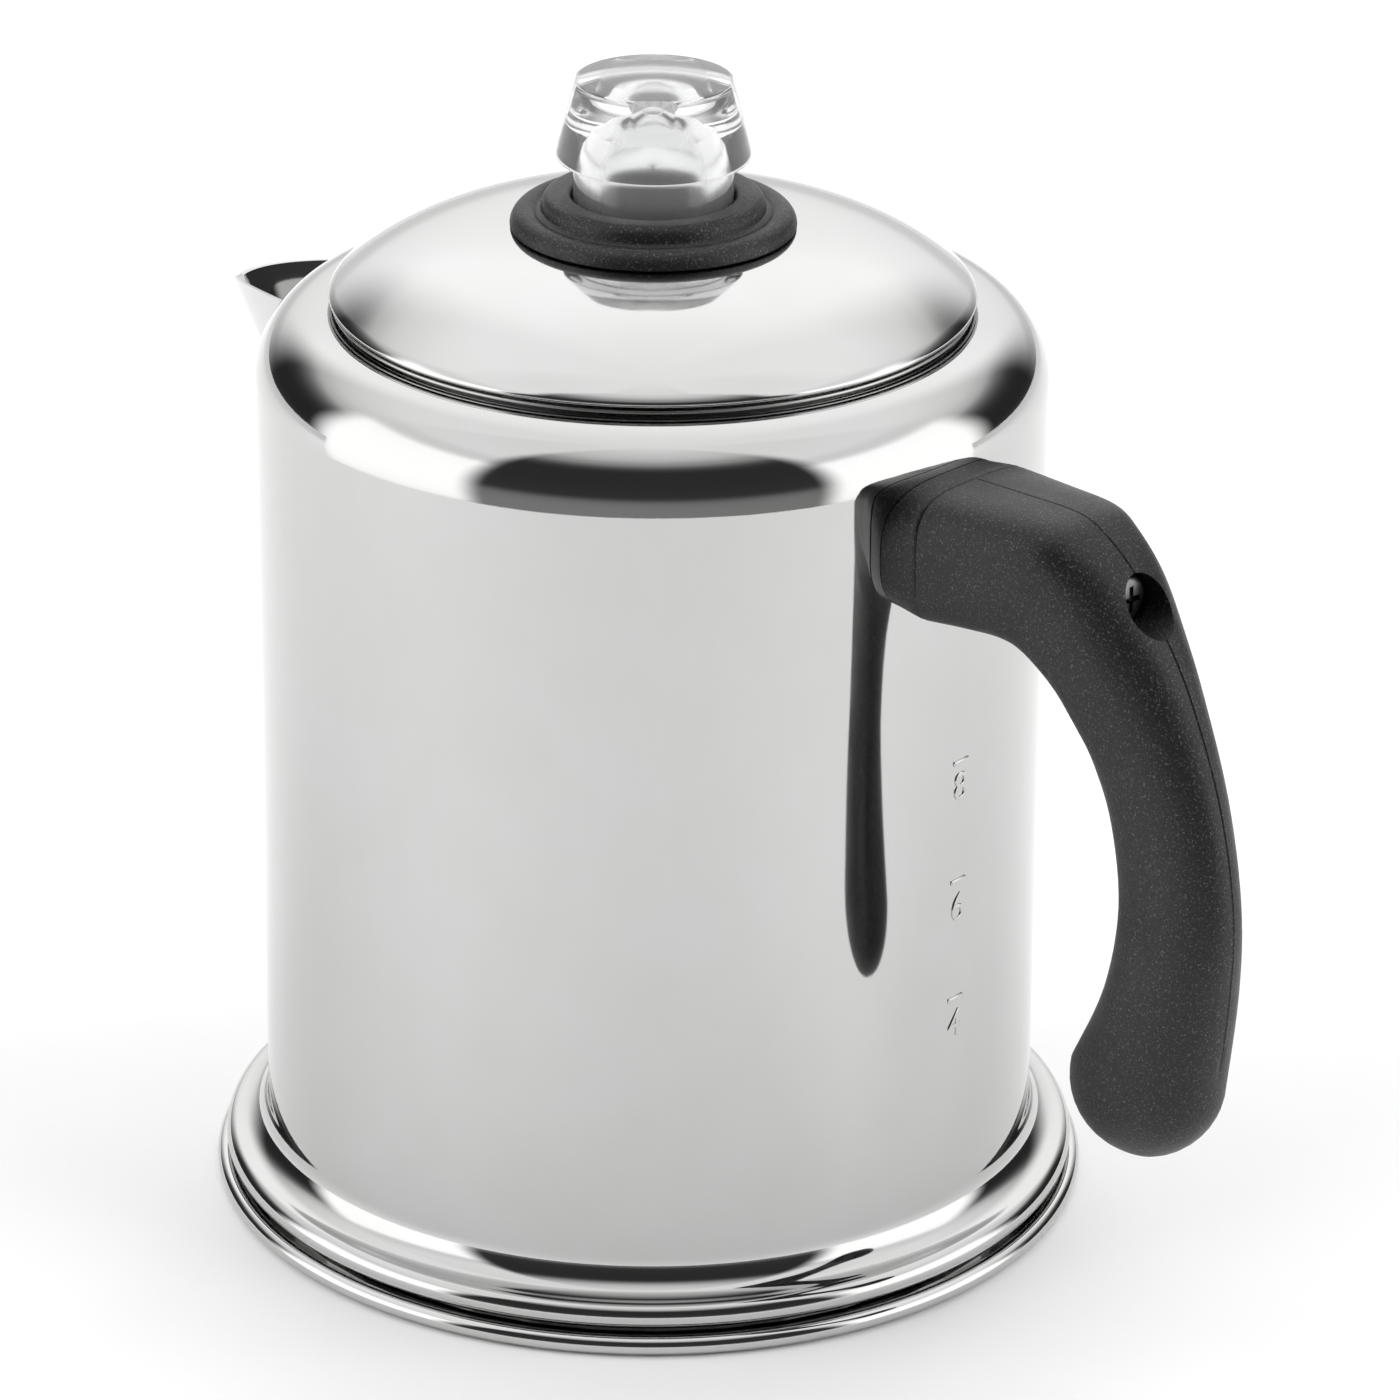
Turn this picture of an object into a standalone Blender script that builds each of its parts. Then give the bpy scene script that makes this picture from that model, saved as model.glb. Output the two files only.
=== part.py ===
"""Stove-top coffee percolator: a straight polished steel pot with a beaded foot, a beak spout,
a domed lid with a glass knob in a black collar, a black cantilever handle held by one screw, and
the brewing stack inside it (stem with its bell and valve washer, basket and spreader plate).

Frame: the origin is on the pot's axis, on the plane of its flat underside. +Z is up, +X points to
the handle and -X to the spout. Everything is in metres.
"""
import math

import bmesh
import bpy
from mathutils import Matrix, Vector

# ---- driving dimensions ------------------------------------------------------------------------
BODY_RADIUS = 0.068          # outside of the straight wall
BODY_SHEET = 0.0008          # steel of the pot
THIN_SHEET = 0.0007          # steel of the lid, basket and spreader
GAP = 0.0003                 # air left between pieces that touch

SHOULDER_RADIUS = 0.0124     # round between the wall and the mouth
SHOULDER_START = 0.1495      # height where the wall starts to turn in
THROAT_RADIUS = 0.0532       # inside of the mouth
THROAT_BOTTOM = 0.1560

FOOT_FILLET = 0.0055         # hollow sweep from the wall out to the foot
FOOT_FILLET_TOP = 0.0140
ROLL_RADIUS = 0.0023         # rolled edge of the foot
ROLL_CENTRE = (0.0733, 0.0062)
BASE_BEAD_RADIUS = 0.00165   # bead of the base cap, the widest ring of the pot
BASE_BEAD_CENTRE = 0.07565

LID_EDGE_RADIUS = 0.0551
LID_EDGE_HEIGHT = 0.1648
LID_RISE = 0.0116            # crown of the dome above its edge
LID_CROWN_POWER = 3.9        # flat in the middle, steeper near the edge
LID_HOLE_RADIUS = 0.0153

COLLAR_HOLE_RADIUS = 0.0141  # hole of the black collar, round the glass knob's neck
NECK_RADIUS = 0.01365
KNOB_FLARE_RADIUS = 0.0166
KNOB_FLARE_HEIGHT = 0.1886
KNOB_TOP = 0.2024
KNOB_CAVITY_RADIUS = 0.0088

TUBE_RADIUS = 0.0048
TUBE_BORE = 0.0041
TUBE_TOP = 0.1580
TUBE_BOTTOM = 0.0080
COLLAR_STOP_TOP = 0.0965     # where the basket rests on the stem

BASKET_RADIUS = 0.0495
BASKET_FLOOR = 0.0968
BASKET_RIM = 0.1410
SLEEVE_BORE = 0.0054

SPOUT_TOP_TIP = (-0.1033, 0.1413)   # x and z of the beak's point
SPOUT_TOP_WALL = 0.1475             # height of the beak's rim at the wall
SPOUT_FOOT = 0.0820                 # where the keel runs into the wall
SPOUT_HALF_WIDTH = 0.0190
SPOUT_EDGE_POWER = 1.333            # how the beak's sides bow in plan

HANDLE_ROOT = 0.0735         # where the grip starts, outside the ferrule
SCREW_HEIGHT = 0.1380        # axis of the one screw that holds the handle
SCREW_HEAD_FACE = 0.1070
SCREW_HEAD_BACK = 0.1046
RECESS_RADIUS = 0.0048

ROUND = 40                   # segments of the large turned pieces
SMALL_ROUND = 20             # segments of the small turned pieces

# Stations down the handle: outer edge (x, z), inner edge (x, z), half width, squareness.
HANDLE_STATIONS = (
    ((0.0735, 0.1499), (0.0735, 0.1268), 0.0148, 4.0),
    ((0.0845, 0.1501), (0.0800, 0.1272), 0.0135, 4.0),
    ((0.0955, 0.1500), (0.0870, 0.1272), 0.0128, 3.6),
    ((0.1012, 0.1478), (0.0912, 0.1254), 0.0120, 3.2),
    ((0.1075, 0.1428), (0.0968, 0.1204), 0.0112, 2.8),
    ((0.1130, 0.1356), (0.1002, 0.1150), 0.0102, 2.5),
    ((0.1197, 0.1250), (0.1032, 0.1085), 0.0084, 2.3),
    ((0.1268, 0.1080), (0.1064, 0.0988), 0.0073, 2.2),
    ((0.1306, 0.0900), (0.1083, 0.0848), 0.0072, 2.2),
    ((0.1306, 0.0738), (0.1062, 0.0698), 0.0084, 2.2),
    ((0.1284, 0.0536), (0.0999, 0.0554), 0.0093, 2.2),
)
HANDLE_END = Vector((-0.0030, 0.0, -0.0144))   # how far the round end reaches past the last one

STEEL = ((0.78, 0.78, 0.78), 0.12, 1.0)
INNER_STEEL = ((0.70, 0.70, 0.71), 0.28, 1.0)
ALUMINIUM = ((0.74, 0.75, 0.76), 0.38, 1.0)
BLACK_PLASTIC = ((0.030, 0.030, 0.032), 0.48, 0.0)
SCREW_STEEL = ((0.35, 0.35, 0.36), 0.30, 1.0)
CLEAR_GLASS = ((0.94, 0.96, 0.96), 0.03, 0.0)


# ---- tools -------------------------------------------------------------------------------------
def clear_scene():
    for obj in list(bpy.data.objects):
        bpy.data.objects.remove(obj, do_unlink=True)


def make_material(name, look):
    colour, roughness, metallic = look
    material = bpy.data.materials.new(name)
    material.use_nodes = True
    shader = material.node_tree.nodes["Principled BSDF"]
    shader.inputs["Base Color"].default_value = (*colour, 1.0)
    shader.inputs["Roughness"].default_value = roughness
    shader.inputs["Metallic"].default_value = metallic
    return material


def make_joint(name, location, parent=None):
    """An empty on a moving body's joint axis; location is in the pot's frame."""
    empty = bpy.data.objects.new(name, None)
    bpy.context.collection.objects.link(empty)
    empty.empty_display_size = 0.02
    if parent is not None:
        empty.parent = parent
        empty.matrix_parent_inverse = Matrix.Identity(4)
        offset = Vector((0.0, 0.0, 0.0))
        holder = parent
        while holder is not None:
            offset += holder.location
            holder = holder.parent
        empty.location = Vector(location) - offset
    else:
        empty.location = location
    return empty


def add_part(name, bm, look, joint, smooth_angle=35.0):
    """Turn a bmesh in the pot's frame into a named object whose origin is on its joint's axis."""
    bmesh.ops.recalc_face_normals(bm, faces=bm.faces)
    mesh = bpy.data.meshes.new(name)
    origin = Vector((0.0, 0.0, 0.0))
    holder = joint
    while holder is not None:
        origin += holder.location
        holder = holder.parent
    bmesh.ops.translate(bm, verts=bm.verts, vec=-origin)
    bm.to_mesh(mesh)
    bm.free()
    mesh.shade_smooth()
    mesh.set_sharp_from_angle(angle=math.radians(smooth_angle))
    obj = bpy.data.objects.new(name, mesh)
    bpy.context.collection.objects.link(obj)
    obj.parent = joint
    obj.data.materials.append(make_material(name, look))
    return obj


def turn(profile, steps):
    """Revolve a closed (radius, height) outline about the Z axis."""
    bm = bmesh.new()
    verts = [bm.verts.new((radius, 0.0, height)) for radius, height in profile]
    edges = [bm.edges.new((verts[i], verts[(i + 1) % len(verts)])) for i in range(len(verts))]
    bmesh.ops.spin(bm, geom=verts + edges, cent=(0, 0, 0), axis=(0, 0, 1),
                   angle=2.0 * math.pi, steps=steps, use_duplicate=False)
    bmesh.ops.remove_doubles(bm, verts=bm.verts, dist=1e-6)
    bmesh.ops.dissolve_degenerate(bm, edges=bm.edges, dist=1e-7)
    return bm


def arc(centre, radius, start, end, steps):
    """Points of an arc in the (radius, height) plane, angles in degrees from the outward axis."""
    points = []
    for step in range(steps + 1):
        angle = math.radians(start + (end - start) * step / steps)
        points.append((centre[0] + radius * math.cos(angle), centre[1] + radius * math.sin(angle)))
    return points


def box(low, high):
    bm = bmesh.new()
    bmesh.ops.create_cube(bm, size=1.0)
    size = [high[i] - low[i] for i in range(3)]
    middle = [(high[i] + low[i]) / 2.0 for i in range(3)]
    bmesh.ops.scale(bm, vec=size, verts=bm.verts)
    bmesh.ops.translate(bm, vec=middle, verts=bm.verts)
    return bm


def room_of_the_pot():
    """The pot's wall as a solid drum with the gap added, to cut a fitting to the wall's curve."""
    reach = BODY_RADIUS + GAP
    return turn([(0.0, 0.05), (reach, 0.05), (reach, 0.17), (0.0, 0.17)], 96)


def rod(radius, start, end, sides=16):
    """A closed cylinder from one point to another."""
    start, end = Vector(start), Vector(end)
    along = end - start
    bm = bmesh.new()
    bmesh.ops.create_cone(bm, cap_ends=True, segments=sides, radius1=radius, radius2=radius,
                          depth=along.length)
    turn_to = Vector((0, 0, 1)).rotation_difference(along.normalized()).to_matrix().to_4x4()
    bmesh.ops.transform(bm, matrix=Matrix.Translation((start + end) / 2.0) @ turn_to, verts=bm.verts)
    return bm


def merge(meshes):
    """Put separate closed shells that don't touch each other into one bmesh."""
    whole = bmesh.new()
    for bm in meshes:
        mesh = bpy.data.meshes.new("piece")
        bm.to_mesh(mesh)
        bm.free()
        whole.from_mesh(mesh)
        bpy.data.meshes.remove(mesh)
    return whole


def carve(target, tools, operation="DIFFERENCE"):
    """Boolean a bmesh of closed shells with another, with Blender's exact solver."""
    objects = []
    for bm in (target, tools):
        bmesh.ops.recalc_face_normals(bm, faces=bm.faces)
        mesh = bpy.data.meshes.new("boolean")
        bm.to_mesh(mesh)
        bm.free()
        obj = bpy.data.objects.new("boolean", mesh)
        bpy.context.collection.objects.link(obj)
        objects.append(obj)
    modifier = objects[0].modifiers.new("cut", "BOOLEAN")
    modifier.object = objects[1]
    modifier.operation = operation
    modifier.solver = "EXACT"
    depsgraph = bpy.context.evaluated_depsgraph_get()
    result = bmesh.new()
    result.from_mesh(objects[0].evaluated_get(depsgraph).to_mesh())
    for obj in objects:
        mesh = obj.data
        bpy.data.objects.remove(obj, do_unlink=True)
        bpy.data.meshes.remove(mesh)
    bmesh.ops.remove_doubles(result, verts=result.verts, dist=1e-6)
    return result


def ring_of_rods(radius, pitch_radius, count, low, high, sides=6):
    """Vertical drills on a circle, for the perforations."""
    drills = []
    for index in range(count):
        angle = 2.0 * math.pi * index / count
        x, y = pitch_radius * math.cos(angle), pitch_radius * math.sin(angle)
        drills.append(rod(radius, (x, y, low), (x, y, high), sides))
    return drills


# ---- pot ---------------------------------------------------------------------------------------
def body_shell():
    """Wall, shoulder, mouth and rolled foot, drawn from one sheet, with the pour holes."""
    wall = BODY_RADIUS
    shoulder_centre = (wall - SHOULDER_RADIUS, SHOULDER_START)
    fillet_centre = (wall + FOOT_FILLET, FOOT_FILLET_TOP)
    outline = [(THROAT_RADIUS, THROAT_BOTTOM), (THROAT_RADIUS, 0.1607), (0.0542, 0.1616)]
    outline += arc(shoulder_centre, SHOULDER_RADIUS, 90.0, 0.0, 6)
    outline += arc(fillet_centre, FOOT_FILLET, 180.0, 265.0, 4)
    outline += arc(ROLL_CENTRE, ROLL_RADIUS, 85.0, -90.0, 5)
    outline += [(0.0712, 0.0050)]
    outline += arc(fillet_centre, FOOT_FILLET + BODY_SHEET, 255.0, 180.0, 3)
    outline += arc(shoulder_centre, SHOULDER_RADIUS - BODY_SHEET, 0.0, 90.0, 4)
    outline += [(THROAT_RADIUS + BODY_SHEET, 0.1603), (THROAT_RADIUS + BODY_SHEET, THROAT_BOTTOM)]
    shell = turn(outline, ROUND)
    drills = []
    for row in range(4):
        for place in (-1.0, 0.0, 1.0) if row % 2 == 0 else (-0.5, 0.5):
            angle = math.radians(180.0 + place * 6.5)
            height = 0.1120 + row * 0.0080
            near, far = 0.0640, 0.0720
            drills.append(rod(0.0019, (near * math.cos(angle), near * math.sin(angle), height),
                              (far * math.cos(angle), far * math.sin(angle), height), 6))
    return carve(shell, merge(drills))


def base_cap():
    """Flat outer base with the bead that the pot stands on."""
    bead = arc((BASE_BEAD_CENTRE, BASE_BEAD_RADIUS), BASE_BEAD_RADIUS, -90.0, 90.0, 6)
    return turn([(0.0, 0.0)] + bead + [(0.0745, 0.0031), (0.0736, 0.0008), (0.0, 0.0008)], ROUND)


def base_core():
    """Aluminium disc that spreads the heat, sealed between the cap and the pot's floor."""
    return turn([(0.0, 0.0011), (0.0700, 0.0011), (0.0704, 0.0015), (0.0704, 0.0039),
                 (0.0700, 0.0043), (0.0, 0.0043)], ROUND)


def floor_pan():
    """Inner floor of the pot with its edge turned up against the wall."""
    rim = BODY_RADIUS - BODY_SHEET - GAP
    outline = [(0.0, 0.0046), (rim - 0.0020, 0.0046), (rim, 0.0066), (rim, 0.0120),
               (rim - BODY_SHEET, 0.0120), (rim - BODY_SHEET, 0.0069), (rim - 0.0023, 0.0054),
               (0.0, 0.0054)]
    return turn(outline, ROUND)


def spout():
    """Beak of one folded sheet: its keel climbs from the wall to the point."""
    rows, columns = 7, 12
    reach = -SPOUT_TOP_TIP[0] - BODY_RADIUS
    bm = bmesh.new()
    outer, inner = [], []
    for layer, inset in ((outer, 0.0), (inner, BODY_SHEET)):
        for row in range(rows + 1):
            part = 0.06 + 0.94 * row / rows
            keel_x = -BODY_RADIUS - reach * part + inset * 1.4
            keel_z = SPOUT_FOOT + (SPOUT_TOP_TIP[1] - SPOUT_FOOT) * part
            wall_z = SPOUT_FOOT + (SPOUT_TOP_WALL - SPOUT_FOOT) * part
            half = SPOUT_HALF_WIDTH * part - inset
            line = []
            for column in range(columns + 1):
                across = -1.0 + 2.0 * column / columns
                back = abs(across) ** SPOUT_EDGE_POWER
                wall_x = -BODY_RADIUS + 0.0060
                x = keel_x + (wall_x - keel_x) * back
                z = keel_z + (wall_z - keel_z) * back
                line.append(bm.verts.new((x, half * across, z)))
            layer.append(line)
    for layer in (outer, inner):
        for row in range(rows):
            for column in range(columns):
                bm.faces.new((layer[row][column], layer[row][column + 1],
                              layer[row + 1][column + 1], layer[row + 1][column]))
    for column in range(columns):
        for row in (0, rows):
            bm.faces.new((outer[row][column], outer[row][column + 1],
                          inner[row][column + 1], inner[row][column]))
    for row in range(rows):
        for column in (0, columns):
            bm.faces.new((outer[row][column], outer[row + 1][column],
                          inner[row + 1][column], inner[row][column]))
    bmesh.ops.recalc_face_normals(bm, faces=bm.faces)
    return carve(bm, room_of_the_pot())


# ---- handle ------------------------------------------------------------------------------------
def smooth_stations(stations, per_span):
    """Catmull-Rom points through the stations, so that the handle flows."""
    values = [(*outer, *inner, half, square) for outer, inner, half, square in stations]
    values = [values[0]] + values + [values[-1]]
    points = []
    for i in range(1, len(values) - 2):
        before, start, end, after = values[i - 1:i + 3]
        for step in range(per_span):
            t = step / per_span
            points.append([0.5 * (2 * b + (c - a) * t + (2 * a - 5 * b + 4 * c - d) * t * t
                                  + (3 * b - a - 3 * c + d) * t ** 3)
                           for a, b, c, d in zip(before, start, end, after)])
    points.append(list(values[-2]))
    return points


def handle_section(station, sides, shrink=0.0):
    """One cross-section: a rounded oblong between the outer and the inner edge."""
    outer_x, outer_z, inner_x, inner_z, half, square = station
    middle = Vector(((outer_x + inner_x) / 2.0, 0.0, (outer_z + inner_z) / 2.0))
    depth = Vector(((outer_x - inner_x) / 2.0, 0.0, (outer_z - inner_z) / 2.0))
    depth = depth * (1.0 - shrink / depth.length)
    points = []
    for side in range(sides):
        angle = 2.0 * math.pi * side / sides
        cos_a, sin_a = math.cos(angle), math.sin(angle)
        along = math.copysign(abs(cos_a) ** (2.0 / square), cos_a)
        across = math.copysign(abs(sin_a) ** (2.0 / square), sin_a)
        points.append(middle + depth * along + Vector((0.0, (half - shrink) * across, 0.0)))
    return points


def skin(rings):
    """Closed skin over a list of rings of points, with flat ends."""
    bm = bmesh.new()
    loops = [[bm.verts.new(point) for point in ring] for ring in rings]
    count = len(loops[0])
    for first, second in zip(loops, loops[1:]):
        for side in range(count):
            nxt = (side + 1) % count
            bm.faces.new((first[side], first[nxt], second[nxt], second[side]))
    bm.faces.new(loops[0][::-1])
    bm.faces.new(loops[-1])
    bmesh.ops.recalc_face_normals(bm, faces=bm.faces)
    return bm


def handle_grip():
    """Moulded grip: wide root, slim middle and a heavy free end."""
    sides = 20
    stations = smooth_stations(HANDLE_STATIONS, 2)
    rings = [handle_section(station, sides) for station in stations]
    last, end_ring = stations[-1], rings[-1]
    middle = Vector(((last[0] + last[2]) / 2.0, 0.0, (last[1] + last[3]) / 2.0))
    for angle in (25.0, 45.0, 63.0, 78.0):
        scale, push = math.cos(math.radians(angle)), math.sin(math.radians(angle))
        rings.append([middle + (point - middle) * scale + HANDLE_END * push for point in end_ring])
    grip = skin(rings)
    cuts = [rod(RECESS_RADIUS, (0.1030, 0.0, SCREW_HEIGHT), (0.1250, 0.0, SCREW_HEIGHT), 20),
            box((0.0600, -0.0060, 0.1340), (0.0875, 0.0060, 0.1420))]
    grip = carve(grip, merge(cuts))
    shank = rod(0.0024, (0.0870, 0.0, SCREW_HEIGHT), (0.1035, 0.0, SCREW_HEIGHT), 12)
    return carve(grip, shank)


def handle_ferrule():
    """Black collar between the pot's wall and the grip, hollow for the bracket."""
    station = [*HANDLE_STATIONS[0][0], *HANDLE_STATIONS[0][1], *HANDLE_STATIONS[0][2:]]
    rings = []
    for x, grow in ((0.0600, 0.0002), (0.0700, 0.0), (0.0722, 0.0), (HANDLE_ROOT - GAP, 0.0002)):
        ring = handle_section(station, 24, grow if x > 0.0722 else -grow)
        rings.append([Vector((x, point.y, point.z)) for point in ring])
    collar = skin(rings)
    collar = carve(collar, room_of_the_pot())
    return carve(collar, box((0.0600, -0.0112, 0.1296), (0.0800, 0.0112, 0.1464)))


def handle_bracket():
    """Steel strap welded to the wall, with the tongue that the screw draws the grip on to."""
    plate = box((0.0640, -0.0108, 0.1300), (0.0708, 0.0108, 0.1460))
    plate = carve(plate, room_of_the_pot())
    tongue = box((0.0700, -0.0056, 0.1344), (0.0870, 0.0056, 0.1416))
    bracket = carve(plate, tongue, "UNION")
    return carve(bracket, rod(0.0024, (0.0745, 0.0, SCREW_HEIGHT), (0.0900, 0.0, SCREW_HEIGHT), 12))


def screw_washer():
    ring = turn([(0.0024, 0.0), (0.0045, 0.0), (0.0045, 0.0007), (0.0024, 0.0007)], 16)
    place = Matrix.Translation((0.1034, 0.0, SCREW_HEIGHT)) @ Matrix.Rotation(math.pi / 2, 4, "Y")
    bmesh.ops.transform(ring, matrix=place, verts=ring.verts)
    return ring


def handle_screw():
    """Pan-head cross-slot screw, its head in the recess of the grip."""
    length = SCREW_HEAD_FACE - SCREW_HEAD_BACK
    back = 0.0760 - SCREW_HEAD_BACK
    outline = [(0.0, back), (0.0020, back), (0.0020, 0.0), (0.0041, 0.0), (0.0041, length * 0.5),
               (0.0031, length * 0.9), (0.0, length)]
    screw = turn(outline, 16)
    place = Matrix.Translation((SCREW_HEAD_BACK, 0.0, SCREW_HEIGHT)) @ Matrix.Rotation(math.pi / 2, 4, "Y")
    bmesh.ops.transform(screw, matrix=place, verts=screw.verts)
    wing, arm, depth = 0.0022, 0.00045, 0.0013
    tall = box((SCREW_HEAD_FACE - depth, -arm, SCREW_HEIGHT - wing),
               (SCREW_HEAD_FACE + depth, arm, SCREW_HEIGHT + wing))
    wide = box((SCREW_HEAD_FACE - depth, -wing, SCREW_HEIGHT - arm),
               (SCREW_HEAD_FACE + depth, wing, SCREW_HEIGHT + arm))
    return carve(screw, carve(tall, wide, "UNION"))


# ---- lid ---------------------------------------------------------------------------------------
def dome_height(radius):
    """Height of the lid's upper face at a radius."""
    return LID_EDGE_HEIGHT + LID_RISE * (1.0 - (radius / LID_EDGE_RADIUS) ** LID_CROWN_POWER)


def lid_dome():
    """Domed disc with a hemmed edge and the hole for the collar."""
    steps = 6
    radii = [LID_HOLE_RADIUS + (LID_EDGE_RADIUS - LID_HOLE_RADIUS) * (i / steps) ** 0.75
             for i in range(steps + 1)]
    top = [(radius, dome_height(radius)) for radius in radii]
    hem = [(LID_EDGE_RADIUS + 0.0001, 0.1643), (LID_EDGE_RADIUS, 0.1635), (0.0546, 0.1634),
           (0.0533, 0.1638)]
    under = [(radius, dome_height(radius) - THIN_SHEET * 1.15) for radius in radii[-2::-1]]
    return turn(top + hem + under, ROUND)


def lid_skirt():
    """Ring under the dome that plugs the mouth; its flange rests on the pot's rim."""
    outer, inner = 0.0526, 0.0526 - THIN_SHEET
    outline = [(inner, 0.1520), (inner, 0.1630), (0.0546, 0.1630), (0.0546, 0.1623),
               (outer, 0.1623), (outer, 0.1520)]
    return turn(outline, ROUND)


def lid_collar():
    """Black two-step collar round the knob, with the hub that passes through the lid."""
    outline = [(COLLAR_HOLE_RADIUS, 0.1716), (COLLAR_HOLE_RADIUS, 0.1812), (0.0148, 0.1818)]
    outline += arc((0.0172, 0.1800), 0.0018, 90.0, 0.0, 3)
    outline += [(0.0192, 0.1789)]
    outline += arc((0.0216, 0.1764), 0.0028, 120.0, 0.0, 5)
    outline += [(0.0241, 0.1762), (0.0149, 0.1768), (0.0149, 0.1716)]
    return turn(outline, 32)


def collar_clip():
    """Spring steel washer that holds the collar from below the lid."""
    return turn([(0.0152, 0.1743), (0.0205, 0.1737), (0.0205, 0.1744), (0.0152, 0.1750)], 24)


# ---- knob --------------------------------------------------------------------------------------
def glass_knob():
    """Clear percolator knob: flared head, straight neck, open cavity and two locking lugs."""
    outline = [(KNOB_CAVITY_RADIUS, 0.1700), (0.0132, 0.1700), (NECK_RADIUS, 0.1704),
               (NECK_RADIUS, 0.1880), (0.0158, 0.1882), (KNOB_FLARE_RADIUS, KNOB_FLARE_HEIGHT),
               (0.0165, 0.1892), (0.0137, 0.2008), (0.0131, 0.2018), (0.0118, 0.2023), (0.0, KNOB_TOP),
               (0.0, 0.1965)]
    outline += arc((0.0, 0.1900), 0.0065, 75.0, 30.0, 3)
    outline += [(KNOB_CAVITY_RADIUS - 0.0008, 0.1880), (KNOB_CAVITY_RADIUS, 0.1850)]
    glass = turn(outline, 32)
    lugs = []
    for angle in (90.0, 270.0):
        lug = box((0.0120, -0.0035, 0.1700), (0.0147, 0.0035, 0.1712))
        bmesh.ops.rotate(lug, cent=(0, 0, 0), verts=lug.verts,
                         matrix=Matrix.Rotation(math.radians(angle), 3, "Z"))
        lugs.append(lug)
    return carve(glass, merge(lugs), "UNION")


# ---- brewing stack -----------------------------------------------------------------------------
def pump_tube():
    """Stem tube with the flared lip that keeps the valve washer on."""
    outline = [(TUBE_BORE, TUBE_TOP), (TUBE_RADIUS, TUBE_TOP), (TUBE_RADIUS, 0.0094),
               (0.0062, 0.0088), (0.0062, TUBE_BOTTOM), (TUBE_BORE, TUBE_BOTTOM)]
    return turn(outline, SMALL_ROUND)


def pump_collar():
    """Stop on the stem that carries the basket."""
    outline = [(TUBE_RADIUS + GAP, 0.0935), (0.0068, 0.0935), (0.0090, 0.0950),
               (0.0090, COLLAR_STOP_TOP), (TUBE_RADIUS + GAP, COLLAR_STOP_TOP)]
    return turn(outline, SMALL_ROUND)


def pump_bell():
    """Bell foot that traps the boiling water, notched at its rim for the water to come in."""
    bore = TUBE_RADIUS + GAP
    outline = [(bore, 0.0220), (0.0060, 0.0220), (0.0060, 0.0190), (0.0090, 0.0165),
               (0.0260, 0.0105), (0.0305, 0.0088), (0.0312, 0.0058), (0.0304, 0.0058),
               (0.0297, 0.0083), (0.0256, 0.0098), (0.0087, 0.0158), (bore, 0.0176)]
    bell = turn(outline, ROUND)
    notches = []
    for index in range(4):
        angle = math.radians(45.0 + 90.0 * index)
        notches.append(rod(0.0024, (0.0270 * math.cos(angle), 0.0270 * math.sin(angle), 0.0056),
                           (0.0340 * math.cos(angle), 0.0340 * math.sin(angle), 0.0056), 10))
    return carve(bell, merge(notches))


def valve_washer():
    """Loose washer on the stem that lifts to let water in and drops to close the bell."""
    return turn([(0.0052, 0.0097), (0.0118, 0.0097), (0.0118, 0.0104), (0.0052, 0.0104)], 24)


def basket_cup():
    """Perforated cup for the ground coffee."""
    radius, sheet, floor = BASKET_RADIUS, THIN_SHEET, BASKET_FLOOR
    outline = [(SLEEVE_BORE, floor), (radius - 0.0030, floor), (radius, floor + 0.0030),
               (radius, BASKET_RIM - 0.0016), (radius + 0.0010, BASKET_RIM - 0.0013),
               (radius + 0.0010, BASKET_RIM), (radius - sheet, BASKET_RIM),
               (radius - sheet, floor + 0.0033), (radius - 0.0033, floor + sheet),
               (SLEEVE_BORE, floor + sheet)]
    cup = turn(outline, ROUND)
    drills = []
    for pitch, count in ((0.0180, 6), (0.0300, 10)):
        drills += ring_of_rods(0.0012, pitch, count, floor - 0.002, floor + 0.003)
    return carve(cup, merge(drills))


def basket_sleeve():
    """Centre tube of the basket, which slides over the stem."""
    floor = BASKET_FLOOR + THIN_SHEET + GAP
    outline = [(SLEEVE_BORE, 0.1435), (0.0061, 0.1435), (0.0061, floor + 0.0008),
               (0.0095, floor + 0.0007), (0.0095, floor), (SLEEVE_BORE, floor)]
    return turn(outline, SMALL_ROUND)


def spreader_plate():
    """Perforated cover of the basket that spreads the water over the coffee."""
    top = BASKET_RIM + GAP + THIN_SHEET
    outline = [(0.0064, 0.1402), (0.0071, 0.1402), (0.0074, 0.1408), (0.0440, 0.1400),
               (0.0470, BASKET_RIM + GAP + 0.0001), (0.0512, BASKET_RIM + GAP),
               (0.0515, BASKET_RIM + GAP + 0.0004), (0.0512, top), (0.0467, top + 0.0001),
               (0.0438, 0.1407), (0.0074, 0.1415), (0.0064, 0.1412)]
    plate = turn(outline, ROUND)
    drills = []
    for pitch, count in ((0.0180, 6), (0.0300, 10)):
        drills += ring_of_rods(0.0011, pitch, count, 0.1385, 0.1430)
    return carve(plate, merge(drills))


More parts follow.
